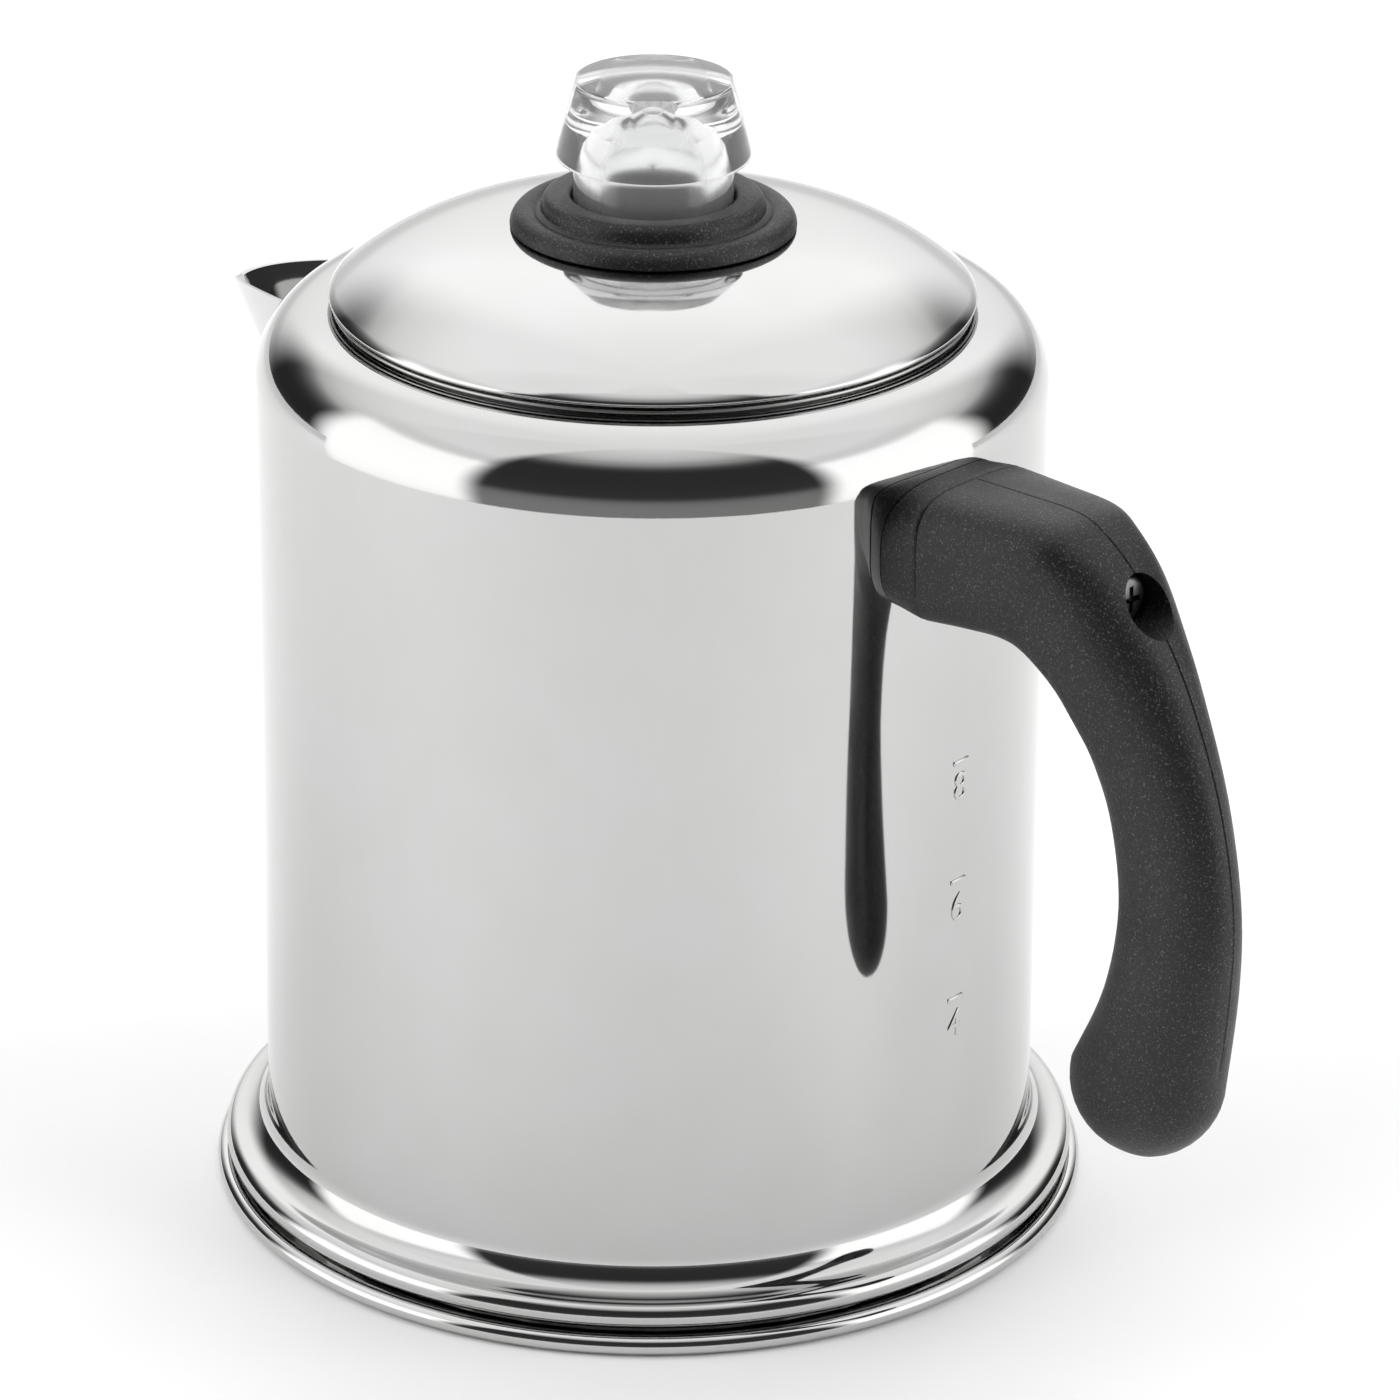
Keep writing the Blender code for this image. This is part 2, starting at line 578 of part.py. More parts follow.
# ---- assembly ----------------------------------------------------------------------------------
def build():
    clear_scene()
    pot = make_joint("pot_frame", (0.0, 0.0, 0.0))
    stem = make_joint("stem_axis", (0.0, 0.0, 0.0054), pot)
    valve = make_joint("valve_axis", (0.0, 0.0, 0.0097), stem)
    basket = make_joint("basket_axis", (0.0, 0.0, COLLAR_STOP_TOP), stem)
    spreader = make_joint("spreader_axis", (0.0, 0.0, BASKET_RIM), basket)
    lid = make_joint("lid_axis", (0.0, 0.0, 0.1620), spreader)
    knob = make_joint("knob_axis", (0.0, 0.0, 0.1716), lid)

    add_part("body_shell", body_shell(), STEEL, pot)
    add_part("base_cap", base_cap(), STEEL, pot)
    add_part("base_core", base_core(), ALUMINIUM, pot)
    add_part("floor_pan", floor_pan(), INNER_STEEL, pot)
    add_part("spout", spout(), STEEL, pot)
    add_part("handle_bracket", handle_bracket(), INNER_STEEL, pot)
    add_part("handle_ferrule", handle_ferrule(), BLACK_PLASTIC, pot)
    add_part("handle_grip", handle_grip(), BLACK_PLASTIC, pot)
    add_part("handle_screw", handle_screw(), SCREW_STEEL, pot)
    add_part("screw_washer", screw_washer(), SCREW_STEEL, pot)

    add_part("pump_tube", pump_tube(), ALUMINIUM, stem)
    add_part("pump_collar", pump_collar(), ALUMINIUM, stem)
    add_part("pump_bell", pump_bell(), ALUMINIUM, stem)
    add_part("valve_washer", valve_washer(), ALUMINIUM, valve)

    add_part("basket_cup", basket_cup(), INNER_STEEL, basket)
    add_part("basket_sleeve", basket_sleeve(), INNER_STEEL, basket)
    add_part("spreader_plate", spreader_plate(), INNER_STEEL, spreader)

    add_part("lid_dome", lid_dome(), STEEL, lid)
    add_part("lid_skirt", lid_skirt(), INNER_STEEL, lid)
    add_part("lid_collar", lid_collar(), BLACK_PLASTIC, lid)
    add_part("collar_clip", collar_clip(), SCREW_STEEL, lid)
    add_part("glass_knob", glass_knob(), CLEAR_GLASS, knob)


build()
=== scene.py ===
"""Polished steel coffee percolator: straight pot with a beaded foot, beak spout, domed lid with a
clear glass knob in a black collar, and a black moulded handle held by one cross-slot screw. The
stem, its bell, the coffee basket and the spreader stand inside. Metres, +Z up, +X to the handle.
"""
import math

import bmesh
import bpy
from mathutils import Matrix, Vector


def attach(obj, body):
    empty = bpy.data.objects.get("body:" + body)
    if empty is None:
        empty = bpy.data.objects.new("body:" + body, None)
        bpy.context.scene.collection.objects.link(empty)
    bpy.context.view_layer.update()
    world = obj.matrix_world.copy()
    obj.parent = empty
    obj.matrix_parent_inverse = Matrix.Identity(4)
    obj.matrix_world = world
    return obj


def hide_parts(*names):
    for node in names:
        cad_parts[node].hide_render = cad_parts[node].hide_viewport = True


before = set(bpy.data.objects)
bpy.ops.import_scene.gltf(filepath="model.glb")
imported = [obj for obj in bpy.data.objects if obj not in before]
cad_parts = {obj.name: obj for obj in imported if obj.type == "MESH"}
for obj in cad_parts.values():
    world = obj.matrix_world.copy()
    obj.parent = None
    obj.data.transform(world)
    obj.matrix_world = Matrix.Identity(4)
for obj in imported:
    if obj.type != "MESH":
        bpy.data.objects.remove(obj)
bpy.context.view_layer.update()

FINE_ROUND = 192      # sides of the polished pieces that mirror the room
PLAIN_ROUND = 96      # sides of the small or hidden turned pieces

GAP = 0.0003          # air between pieces that touch
WALL_RADIUS = 0.0680
SHEET = 0.0008        # steel of the pot
THIN_SHEET = 0.0007   # steel of the lid and the basket
SHOULDER_CENTRE = (0.0556, 0.1495)
SHOULDER_RADIUS = 0.0124
FILLET_CENTRE = (0.0735, 0.0140)
FILLET_RADIUS = 0.0055
ROLL_CENTRE = (0.0733, 0.0062)
ROLL_RADIUS = 0.0023
THROAT_RADIUS = 0.0532
FOOT_BEAD_CENTRE = (0.07565, 0.00165)
FOOT_BEAD_RADIUS = 0.00165

SPOUT_REACH = 0.1033          # from the pot's axis to the beak's point
SPOUT_FOOT = 0.0820           # where the keel leaves the wall
SPOUT_TIP = 0.1413
SPOUT_RIM = 0.1480            # height of the beak's rim at the wall
SPOUT_HALF_WIDTH = 0.0190
SPOUT_BOW = 1.8               # how full the beak's sides are in plan

LID_EDGE_RADIUS = 0.0551
LID_EDGE_HEIGHT = 0.1648
LID_RISE = 0.0116             # crown of the dome above its edge
LID_CROWN_POWER = 3.9         # flat in the middle, steeper near the edge
LID_HOLE_RADIUS = 0.0153
KNOB_CAVITY_RADIUS = 0.0088
SCOOP_RADIUS = 0.0300         # of the finger facets in the knob's head

STEM_FIT = 0.0051             # bore of the pieces that are fixed on the stem
BASKET_FLOOR = 0.0968

SCREW_HEIGHT = 0.1380
SCREW_HEAD_BACK = 0.1046
SCREW_HEAD_LENGTH = 0.0024
RECESS_RADIUS = 0.0048
RECESS_FLOOR = 0.1030
FERRULE_END = 0.0732

# Sections down the handle: outer edge (x, z), inner edge (x, z), half width, squareness.
GRIP_SECTIONS = (
    ((0.0735, 0.1499), (0.0735, 0.1268), 0.0148, 4.0),
    ((0.0845, 0.1501), (0.0800, 0.1272), 0.0135, 4.0),
    ((0.0955, 0.1500), (0.0870, 0.1272), 0.0128, 3.6),
    ((0.1012, 0.1478), (0.0912, 0.1254), 0.0120, 3.2),
    ((0.1075, 0.1428), (0.0968, 0.1204), 0.0112, 2.8),
    ((0.1130, 0.1356), (0.1002, 0.1150), 0.0102, 2.5),
    ((0.1197, 0.1250), (0.1032, 0.1085), 0.0084, 2.3),
    ((0.1268, 0.1080), (0.1064, 0.0988), 0.0073, 2.2),
    ((0.1306, 0.0900), (0.1083, 0.0848), 0.0072, 2.2),
    ((0.1306, 0.0738), (0.1062, 0.0698), 0.0084, 2.2),
    ((0.1284, 0.0536), (0.0999, 0.0554), 0.0093, 2.2),
)
GRIP_END = Vector((-0.0030, 0.0, -0.0144))    # how far the round end reaches past the last one
PARTING_LINE_END = 0.0590     # height where the mould's parting line fades out

MARK_ANGLE = math.radians(3.7)      # round the wall from the handle
MARKS = (("8", 0.0960, 0.0912), ("6", 0.0739, 0.0687), ("4", 0.0517, 0.0467))   # bar, digit
MARK_HEIGHT = 0.0051
MARK_BAR = (0.0040, 0.00085)
MARK_RELIEF = 0.00028

CAMERA_AZIMUTH = math.radians(43.0)
CAMERA_ELEVATION = math.radians(23.37)
CAMERA_ROLL = math.radians(0.478)
CAMERA_DISTANCE = 1.190
CAMERA_SHIFT = (0.00858, 0.04949)   # to the right and up, across the line of sight
CAMERA_PIVOT = Vector((0.0, 0.0, 0.0343))

FLOOR_RADIUS = 0.475
FLOOR_RUN = 9.0                     # how many times further the paper runs behind the pot

# Brightness of the room at heights in degrees: behind the pot, in the gap where the camera stands,
# in the two softboxes at its sides, and between each softbox and the back.
SKY_LEVELS = ((-90, 0.95), (-8, 1.0), (0, 0.78), (9, 1.10), (20, 1.28), (33, 1.45), (50, 1.42),
              (65, 1.33), (90, 1.22))
GAP_LEVELS = ((-90, 0.30), (-20, 0.30), (-2, 0.26), (10, 0.05), (45, 0.04), (60, 0.42), (70, 0.84),
              (80, 1.02), (90, 1.22))
BOX_LEVELS = ((-90, 0.30), (-24, 0.90), (-16, 1.70), (0, 1.80), (32, 1.75), (42, 1.05),
              (52, 1.18), (70, 1.15), (90, 1.22))
REAR_SIDE_LEVELS = ((-90, 0.80), (-12, 0.85), (-2, 0.06), (6, 0.03), (18, 0.06), (31, 0.75),
                    (42, 1.10), (58, 1.25), (90, 1.22))


# ---- bench tools -------------------------------------------------------------------------------
def clear_bench():
    """Back to object mode with nothing selected."""
    if bpy.context.object is not None and bpy.context.object.mode != "OBJECT":
        bpy.ops.object.mode_set(mode="OBJECT")
    bpy.ops.object.select_all(action="DESELECT")


def name_new(name):
    """Names the object that was just added and applies its place, turn and size."""
    piece = bpy.context.object
    piece.name = name
    piece.data.name = name
    bpy.ops.object.transform_apply(location=True, rotation=True, scale=True)
    return piece


def pick_only(*pieces):
    """Selects these pieces alone; the first one is active."""
    clear_bench()
    for piece in pieces:
        piece.select_set(True)
    bpy.context.view_layer.objects.active = pieces[0]


def soften(piece, degrees=35.0):
    """Smooth shading with edges sharper than this angle left crisp."""
    pick_only(piece)
    bpy.ops.object.shade_smooth_by_angle(angle=math.radians(degrees))


def arc(centre, radius, start, end, steps):
    """Radius and height of points round an arc, in degrees from the outward direction."""
    return [(centre[0] + radius * math.cos(math.radians(start + (end - start) * i / steps)),
             centre[1] + radius * math.sin(math.radians(start + (end - start) * i / steps)))
            for i in range(steps + 1)]


def turned(name, outline, sides=PLAIN_ROUND):
    """Draws a closed outline of (radius, height) point by point and spins it round the pot's axis."""
    clear_bench()
    bpy.ops.mesh.primitive_plane_add(size=0.001, location=(outline[0][0], 0.0, outline[0][1]))
    piece = name_new(name)
    bpy.ops.object.mode_set(mode="EDIT")
    bpy.ops.mesh.select_all(action="SELECT")
    bpy.ops.mesh.merge(type="CENTER")
    for here, there in zip(outline, outline[1:]):
        step = (there[0] - here[0], 0.0, there[1] - here[1])
        bpy.ops.mesh.extrude_region_move(TRANSFORM_OT_translate={"value": step})
    mesh = bmesh.from_edit_mesh(piece.data)
    ends = [vert for vert in mesh.verts if len(vert.link_edges) == 1]
    if any(vert.co.x > 1e-6 for vert in ends):
        for vert in mesh.verts:
            vert.select = vert in ends
        mesh.select_flush_mode()
        bmesh.update_edit_mesh(piece.data)
        bpy.ops.mesh.edge_face_add()
    bpy.ops.mesh.select_all(action="SELECT")
    bpy.ops.mesh.spin(steps=sides, angle=2.0 * math.pi, center=(0.0, 0.0, 0.0),
                      axis=(0.0, 0.0, 1.0))
    bpy.ops.mesh.select_all(action="SELECT")
    bpy.ops.mesh.remove_doubles(threshold=2e-6)
    bpy.ops.mesh.select_all(action="SELECT")
    bpy.ops.mesh.normals_make_consistent(inside=False)
    bpy.ops.object.mode_set(mode="OBJECT")
    soften(piece)
    return piece


def lofted(name, sections):
    """Adds a ring, lays it on the first section and extrudes it from section to section."""
    clear_bench()
    sides = len(sections[0])
    bpy.ops.mesh.primitive_circle_add(vertices=sides, radius=1.0)
    piece = name_new(name)
    bpy.ops.object.mode_set(mode="EDIT")
    mesh = bmesh.from_edit_mesh(piece.data)
    mesh.verts.ensure_lookup_table()
    for vert, point in zip(list(mesh.verts), sections[0]):
        vert.co = point
    bmesh.update_edit_mesh(piece.data)
    bpy.ops.mesh.select_all(action="SELECT")
    for before, after in zip(sections, sections[1:]):
        bpy.ops.mesh.extrude_region_move()
        mesh = bmesh.from_edit_mesh(piece.data)
        place = {tuple(round(c, 6) for c in old): new for old, new in zip(before, after)}
        for vert in mesh.verts:
            if vert.select:
                vert.co = place[tuple(round(c, 6) for c in vert.co)]
        bmesh.update_edit_mesh(piece.data)
    bpy.ops.mesh.edge_face_add()
    bpy.ops.mesh.select_all(action="DESELECT")
    bpy.ops.mesh.select_mode(type="EDGE")
    bpy.ops.mesh.select_non_manifold()
    bpy.ops.mesh.edge_face_add()
    bpy.ops.mesh.select_all(action="SELECT")
    bpy.ops.mesh.normals_make_consistent(inside=False)
    bpy.ops.mesh.select_mode(type="VERT")
    bpy.ops.object.mode_set(mode="OBJECT")
    return piece


def drill(name, radius, start, end, sides=24):
    """A round cutter from one point to another."""
    start, end = Vector(start), Vector(end)
    along = end - start
    clear_bench()
    bpy.ops.mesh.primitive_cylinder_add(
        vertices=sides, radius=radius, depth=along.length, location=(start + end) / 2.0,
        rotation=Vector((0.0, 0.0, 1.0)).rotation_difference(along).to_euler())
    return name_new(name)


def block(name, low, high):
    """A box from its lowest to its highest corner."""
    clear_bench()
    middle = [(a + b) / 2.0 for a, b in zip(low, high)]
    bpy.ops.mesh.primitive_cube_add(size=1.0, location=middle,
                                    scale=[b - a for a, b in zip(low, high)])
    return name_new(name)


def joined(pieces):
    """Joins the pieces into the first one."""
    pick_only(*pieces)
    bpy.ops.object.join()
    return bpy.context.object


def cut(piece, cutter, operation="DIFFERENCE"):
    """Cuts one piece with another, which is used up."""
    pick_only(piece)
    modifier = piece.modifiers.new("cut", "BOOLEAN")
    modifier.object = cutter
    modifier.operation = operation
    modifier.solver = "EXACT"
    bpy.ops.object.modifier_apply(modifier=modifier.name)
    bpy.data.objects.remove(cutter, do_unlink=True)
    return piece


def pot_drum():
    """The pot's wall as a solid drum, to cut a fitting to the wall's curve."""
    reach = WALL_RADIUS + 0.0001
    return turned("pot_drum", [(0.0, 0.05), (reach, 0.05), (reach, 0.17), (0.0, 0.17)], 256)


def finish_piece(piece, material, body, slot, *nodes):
    """Gives a piece its material and its body, and hides the nodes that it stands for; the slot
    argument is not used.
    """
    piece.data.materials.clear()
    piece.data.materials.append(material)
    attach(piece, body)
    if nodes:
        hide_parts(*nodes)


# ---- materials ---------------------------------------------------------------------------------
class Finish:
    """A node material being built up on Object coordinates."""

    def __init__(self, name, **settings):
        self.material = bpy.data.materials.new(name)
        self.material.use_nodes = True
        self.nodes = self.material.node_tree.nodes
        self.links = self.material.node_tree.links
        self.shader = self.nodes["Principled BSDF"]
        for socket, value in settings.items():
            self.shader.inputs[socket.replace("_", " ")].default_value = value
        self.place = self.nodes.new("ShaderNodeTexCoord").outputs["Object"]

    def math(self, operation, first, second=None):
        node = self.nodes.new("ShaderNodeMath")
        node.operation = operation
        for socket, value in zip(node.inputs, (first, second)):
            if isinstance(value, (int, float)):
                socket.default_value = value
            elif value is not None:
                self.links.new(value, socket)
        return node.outputs[0]

    def polar(self):
        """Distance from the pot's axis, angle round it and height."""
        apart = self.nodes.new("ShaderNodeSeparateXYZ")
        self.links.new(self.place, apart.inputs[0])
        x, y, z = apart.outputs
        radius = self.math("SQRT", self.math("ADD", self.math("MULTIPLY", x, x),
                                             self.math("MULTIPLY", y, y)))
        return radius, self.math("ARCTAN2", y, x), z

    def round_the_axis(self, along, across):
        """Coordinates that run slowly round the pot and fast across it, for turning marks."""
        radius, angle, z = self.polar()
        together = self.nodes.new("ShaderNodeCombineXYZ")
        for socket, value in zip(together.inputs, (self.math("MULTIPLY", angle, along),
                                                   self.math("MULTIPLY", radius, across),
                                                   self.math("MULTIPLY", z, across))):
            self.links.new(value, socket)
        return together.outputs[0]

    def stretched(self, scale):
        node = self.nodes.new("ShaderNodeMapping")
        node.inputs["Scale"].default_value = scale
        self.links.new(self.place, node.inputs["Vector"])
        return node.outputs[0]

    def noise(self, scale, place=None, detail=3.0, roughness=0.5, distortion=0.0):
        node = self.nodes.new("ShaderNodeTexNoise")
        for socket, value in (("Scale", scale), ("Detail", detail), ("Roughness", roughness),
                              ("Distortion", distortion)):
            node.inputs[socket].default_value = value
        self.links.new(place or self.place, node.inputs["Vector"])
        return node.outputs["Fac"]

    def cells(self, scale):
        node = self.nodes.new("ShaderNodeTexVoronoi")
        node.inputs["Scale"].default_value = scale
        self.links.new(self.place, node.inputs["Vector"])
        return node.outputs["Distance"]

    def between(self, value, low, high, start=0.0, end=1.0):
        """low where value is at start, high where it is at end."""
        node = self.nodes.new("ShaderNodeMapRange")
        for socket, number in (("From Min", start), ("From Max", end), ("To Min", low),
                               ("To Max", high)):
            node.inputs[socket].default_value = number
        self.links.new(value, node.inputs["Value"])
        return node.outputs[0]

    def colours(self, value, stops):
        node = self.nodes.new("ShaderNodeValToRGB")
        ramp = node.color_ramp.elements
        while len(ramp) < len(stops):
            ramp.new(0.5)
        for element, (position, colour) in zip(ramp, stops):
            element.position = position
            element.color = (*colour, 1.0)
        self.links.new(value, node.inputs[0])
        return node.outputs[0]

    def feed(self, socket, value):
        self.links.new(value, self.shader.inputs[socket])

    def bump(self, height, strength, distance, under=None):
        node = self.nodes.new("ShaderNodeBump")
        node.inputs["Strength"].default_value = strength
        node.inputs["Distance"].default_value = distance
        self.links.new(height, node.inputs["Height"])
        if under is not None:
            self.links.new(under, node.inputs["Normal"])
        self.links.new(node.outputs[0], self.shader.inputs["Normal"])
        return node.outputs[0]


def polished_steel(name, shade=0.60, low=0.02, high=0.065, lines=2600.0, depth=0.000004):
    """Buffed stainless: hairlines from turning, faint cloudy smears and tiny scratches."""
    steel = Finish(name, Metallic=1.0)
    hairs = steel.noise(1.0, steel.round_the_axis(6.0, lines), detail=4.0, roughness=0.7)
    clouds = steel.noise(42.0, detail=4.0, distortion=0.6)
    scratches = steel.noise(1.0, steel.stretched((900.0, 900.0, 160.0)), detail=2.0)
    worn = steel.math("ADD", steel.math("MULTIPLY", clouds, 0.6),
                      steel.math("MULTIPLY", hairs, 0.4))
    steel.feed("Roughness", steel.between(worn, low, high, 0.3, 0.7))
    steel.feed("Base Color", steel.colours(clouds, (
        (0.35, (shade * 0.985, shade * 0.98, shade * 0.965)), (0.65, (shade, shade, shade)))))
    fine = steel.bump(hairs, 0.35, depth)
    steel.bump(scratches, 0.12, depth, fine)
    return steel.material


def satin_metal(name, shade, low=0.24, high=0.42, lines=1800.0, depth=0.00002):
    """Unpolished sheet or spun aluminium with visible turning lines and dull patches."""
    metal = Finish(name, Metallic=1.0)
    turning = metal.noise(1.0, metal.round_the_axis(5.0, lines), detail=4.0, roughness=0.65)
    patches = metal.noise(70.0, detail=4.0, distortion=0.8)
    metal.feed("Roughness", metal.between(patches, low, high, 0.3, 0.7))
    metal.feed("Base Color", metal.colours(patches, (
        (0.30, (shade * 0.90, shade * 0.89, shade * 0.87)), (0.70, (shade, shade, shade)))))
    metal.bump(turning, 0.30, depth)
    return metal.material


def black_moulding(name, shade=0.014, low=0.36, high=0.52, grain=0.000080):
    """Phenolic moulding with a fine eroded grain and small pale specks: painted glints."""
    black = Finish(name, Specular_IOR_Level=0.4)
    grains = black.cells(1900.0)
    fine = black.noise(2900.0, detail=3.0)
    wear = black.noise(60.0, detail=4.0, distortion=0.4)
    black.feed("Roughness", black.between(wear, low, high, 0.3, 0.7))
    # Colour: random grain tone, plus pale specks at seven times the shade that are painted glints.
    black.feed("Base Color", black.colours(fine, (
        (0.34, (shade * 0.5, shade * 0.5, shade * 0.52)), (0.58, (shade, shade, shade * 1.02)),
        (0.70, (shade * 7.0, shade * 7.0, shade * 7.2)))))
    rough = black.bump(grains, 0.45, grain)
    black.bump(fine, 0.40, grain, rough)
    return black.material


def pressed_glass(name):
    """Thick clear pressed glass, a trace milky, with handling marks and a duller hollow."""
    glass = Finish(name, Transmission_Weight=0.93, IOR=1.49, Base_Color=(0.985, 0.99, 0.99, 1.0))
    marks = glass.noise(260.0, detail=5.0, distortion=1.5)
    radius, _, _ = glass.polar()
    hollow = glass.between(radius, 0.24, 0.0,
                           KNOB_CAVITY_RADIUS + 0.0002, KNOB_CAVITY_RADIUS + 0.0005)
    glass.feed("Roughness", glass.math("ADD", hollow, glass.between(marks, 0.0, 0.02, 0.55, 0.8)))
    glass.bump(glass.noise(120.0, detail=1.0), 0.06, 0.0001)
    return glass.material


# ---- pot ---------------------------------------------------------------------------------------
def pot_shell():
    """Wall, shoulder, mouth and rolled foot of one drawn sheet, with the pour holes."""
    outline = [(THROAT_RADIUS, 0.1560), (THROAT_RADIUS, 0.1605), (0.0534, 0.1611),
               (0.0539, 0.16150), (0.0546, 0.16175)]
    outline += arc(SHOULDER_CENTRE, SHOULDER_RADIUS, 90.0, 0.0, 26)
    outline += [(WALL_RADIUS, height) for height in (
        0.1492, 0.1485, 0.1470, 0.1440, 0.1380, 0.1260, 0.1100, 0.0940, 0.0780, 0.0620, 0.0460,
        0.0330, 0.0240, 0.0190, 0.0165, 0.0150, 0.0143)]
    outline += arc(FILLET_CENTRE, FILLET_RADIUS, 180.0, 265.0, 18)
    outline += arc(ROLL_CENTRE, ROLL_RADIUS, 85.0, -90.0, 22)
    outline += [(0.0722, 0.00405), (0.0714, 0.0046), (0.0710, 0.0054)]
    outline += arc(FILLET_CENTRE, FILLET_RADIUS + SHEET, 255.0, 180.0, 10)
    outline += [(WALL_RADIUS - SHEET, height) for height in (0.0200, 0.0600, 0.1000, 0.1400)]
    outline += arc(SHOULDER_CENTRE, SHOULDER_RADIUS - SHEET, 0.0, 90.0, 14)
    outline += [(THROAT_RADIUS + SHEET, 0.1603), (THROAT_RADIUS + SHEET, 0.1560)]
    shell = turned("pot_shell", outline, FINE_ROUND)
    holes = []
    for row in range(4):
        for place in (-1.0, 0.0, 1.0) if row % 2 == 0 else (-0.5, 0.5):
            angle = math.radians(180.0 + place * 6.5)
            height = 0.1120 + row * 0.0080
            holes.append(drill("pour_hole", 0.0019,
                               (0.064 * math.cos(angle), 0.064 * math.sin(angle), height),
                               (0.072 * math.cos(angle), 0.072 * math.sin(angle), height)))
    return cut(shell, joined(holes))


def foot_cap():
    """Outer base with its bead, the widest ring of the pot, and the groove above it."""
    outline = [(0.0, 0.0), (0.0500, 0.0), (0.0700, 0.0), (0.0740, 0.0)]
    outline += arc(FOOT_BEAD_CENTRE, FOOT_BEAD_RADIUS, -90.0, 100.0, 28)
    outline += [(0.0748, 0.0032), (0.0742, 0.0027), (0.0738, 0.0016), (0.0732, 0.0009),
                (0.0720, 0.0008), (0.0, 0.0008)]
    return turned("foot_cap", outline, FINE_ROUND)


def pan_floor():
    """Inner floor of the pot with its edge turned up against the wall."""
    rim = WALL_RADIUS - SHEET - GAP
    outline = [(0.0, 0.0046), (0.0400, 0.0046)]
    outline += arc((rim - 0.0020, 0.0066), 0.0020, -90.0, 0.0, 8)
    outline += [(rim, 0.0120), (rim - SHEET, 0.0120)]
    outline += arc((rim - 0.0024, 0.0070), 0.0016, 0.0, -90.0, 8)
    outline += [(0.0400, 0.0054), (0.0, 0.0054)]
    return turned("pan_floor", outline, 128)


def beak_spout():
    """One folded sheet: the keel climbs from the wall to the point, the sides bow back to it."""
    rows, columns = 22, 44
    first_row = 0.06      # the sheet starts this share of the way up, inside the wall
    reach = SPOUT_REACH - WALL_RADIUS
    clear_bench()
    bpy.ops.mesh.primitive_grid_add(x_subdivisions=columns, y_subdivisions=rows, size=2.0)
    spout = name_new("beak_spout")
    bpy.ops.object.mode_set(mode="EDIT")
    bpy.ops.mesh.select_all(action="SELECT")
    bpy.ops.mesh.extrude_region_move(TRANSFORM_OT_translate={"value": (0.0, 0.0, 1.0)})
    bpy.ops.object.mode_set(mode="OBJECT")
    for vert in spout.data.vertices:
        across, inset = vert.co.x, SHEET * vert.co.z
        part = first_row + (1.0 - first_row) * (vert.co.y + 1.0) / 2.0
        back, climb = abs(across) ** SPOUT_BOW, abs(across)
        keel = (-WALL_RADIUS - reach * part + inset * 1.4,
                SPOUT_FOOT + (SPOUT_TIP - SPOUT_FOOT) * part)
        side = (-WALL_RADIUS + 0.0060, SPOUT_FOOT + (SPOUT_RIM - SPOUT_FOOT) * part)
        vert.co = (keel[0] + (side[0] - keel[0]) * back,
                   (SPOUT_HALF_WIDTH * part - inset) * across,
                   keel[1] + (side[1] - keel[1]) * climb)
    bpy.ops.object.mode_set(mode="EDIT")
    bpy.ops.mesh.select_all(action="SELECT")
    bpy.ops.mesh.normals_make_consistent(inside=False)
    bpy.ops.object.mode_set(mode="OBJECT")
    cut(spout, pot_drum())
    soften(spout)
    return spout


def level_marks():
    """Raised cup marks on the wall beside the handle: a short bar over each number."""
    shapes = []
    for digit, bar_height, digit_height in MARKS:
        clear_bench()
        bpy.ops.object.text_add(location=(0.0, 0.0, 0.0))
        text = bpy.context.object
        text.data.body = digit
        text.data.align_x = "CENTER"
        text.data.align_y = "CENTER"
        text.data.size = MARK_HEIGHT / 0.70      # a digit is 0.70 of the type's size
        text.data.offset = -0.00010
        text.data.extrude = 0.00006
        text.data.bevel_depth = 0.00016
        text.data.bevel_resolution = 2
        text.data.resolution_u = 8
        bpy.ops.object.convert(target="MESH")
        text = bpy.context.object
        text.location = (0.0, digit_height, 0.0)
        shapes.append(name_new("mark_" + digit))
        bar = block("bar_" + digit, (-MARK_BAR[0] / 2, bar_height - MARK_BAR[1] / 2, -0.0001),
                    (MARK_BAR[0] / 2, bar_height + MARK_BAR[1] / 2, MARK_RELIEF))
        bpy.ops.object.mode_set(mode="EDIT")
        bpy.ops.mesh.select_all(action="SELECT")
        bpy.ops.mesh.bevel(offset=0.00020, segments=3, affect="EDGES")
        bpy.ops.object.mode_set(mode="OBJECT")
        shapes.append(bar)
    marks = joined(shapes)
    marks.name = "level_marks"
    pick_only(marks)
    bpy.ops.object.mode_set(mode="EDIT")
    bpy.ops.mesh.select_all(action="SELECT")
    bpy.ops.mesh.remove_doubles(threshold=2e-6)
    bpy.ops.object.mode_set(mode="OBJECT")
    for vert in marks.data.vertices:
        along, up, out = vert.co
        angle = MARK_ANGLE + along / WALL_RADIUS
        radius = WALL_RADIUS + out
        vert.co = (radius * math.cos(angle), radius * math.sin(angle), up)
    soften(marks, 40.0)
    return marks


# ---- handle ------------------------------------------------------------------------------------
def flowing_sections(sections, per_span):
    """A smooth run of sections through the given ones."""
    values = [(*outer, *inner, half, square) for outer, inner, half, square in sections]
    values = [values[0]] + values + [values[-1]]
    run = []
    for i in range(1, len(values) - 2):
        before, start, end, after = values[i - 1:i + 3]
        for step in range(per_span):
            t = step / per_span
            run.append([0.5 * (2 * b + (c - a) * t + (2 * a - 5 * b + 4 * c - d) * t * t
                               + (3 * b - a - 3 * c + d) * t ** 3)
                        for a, b, c, d in zip(before, start, end, after)])
    run.append(list(values[-2]))
    return run


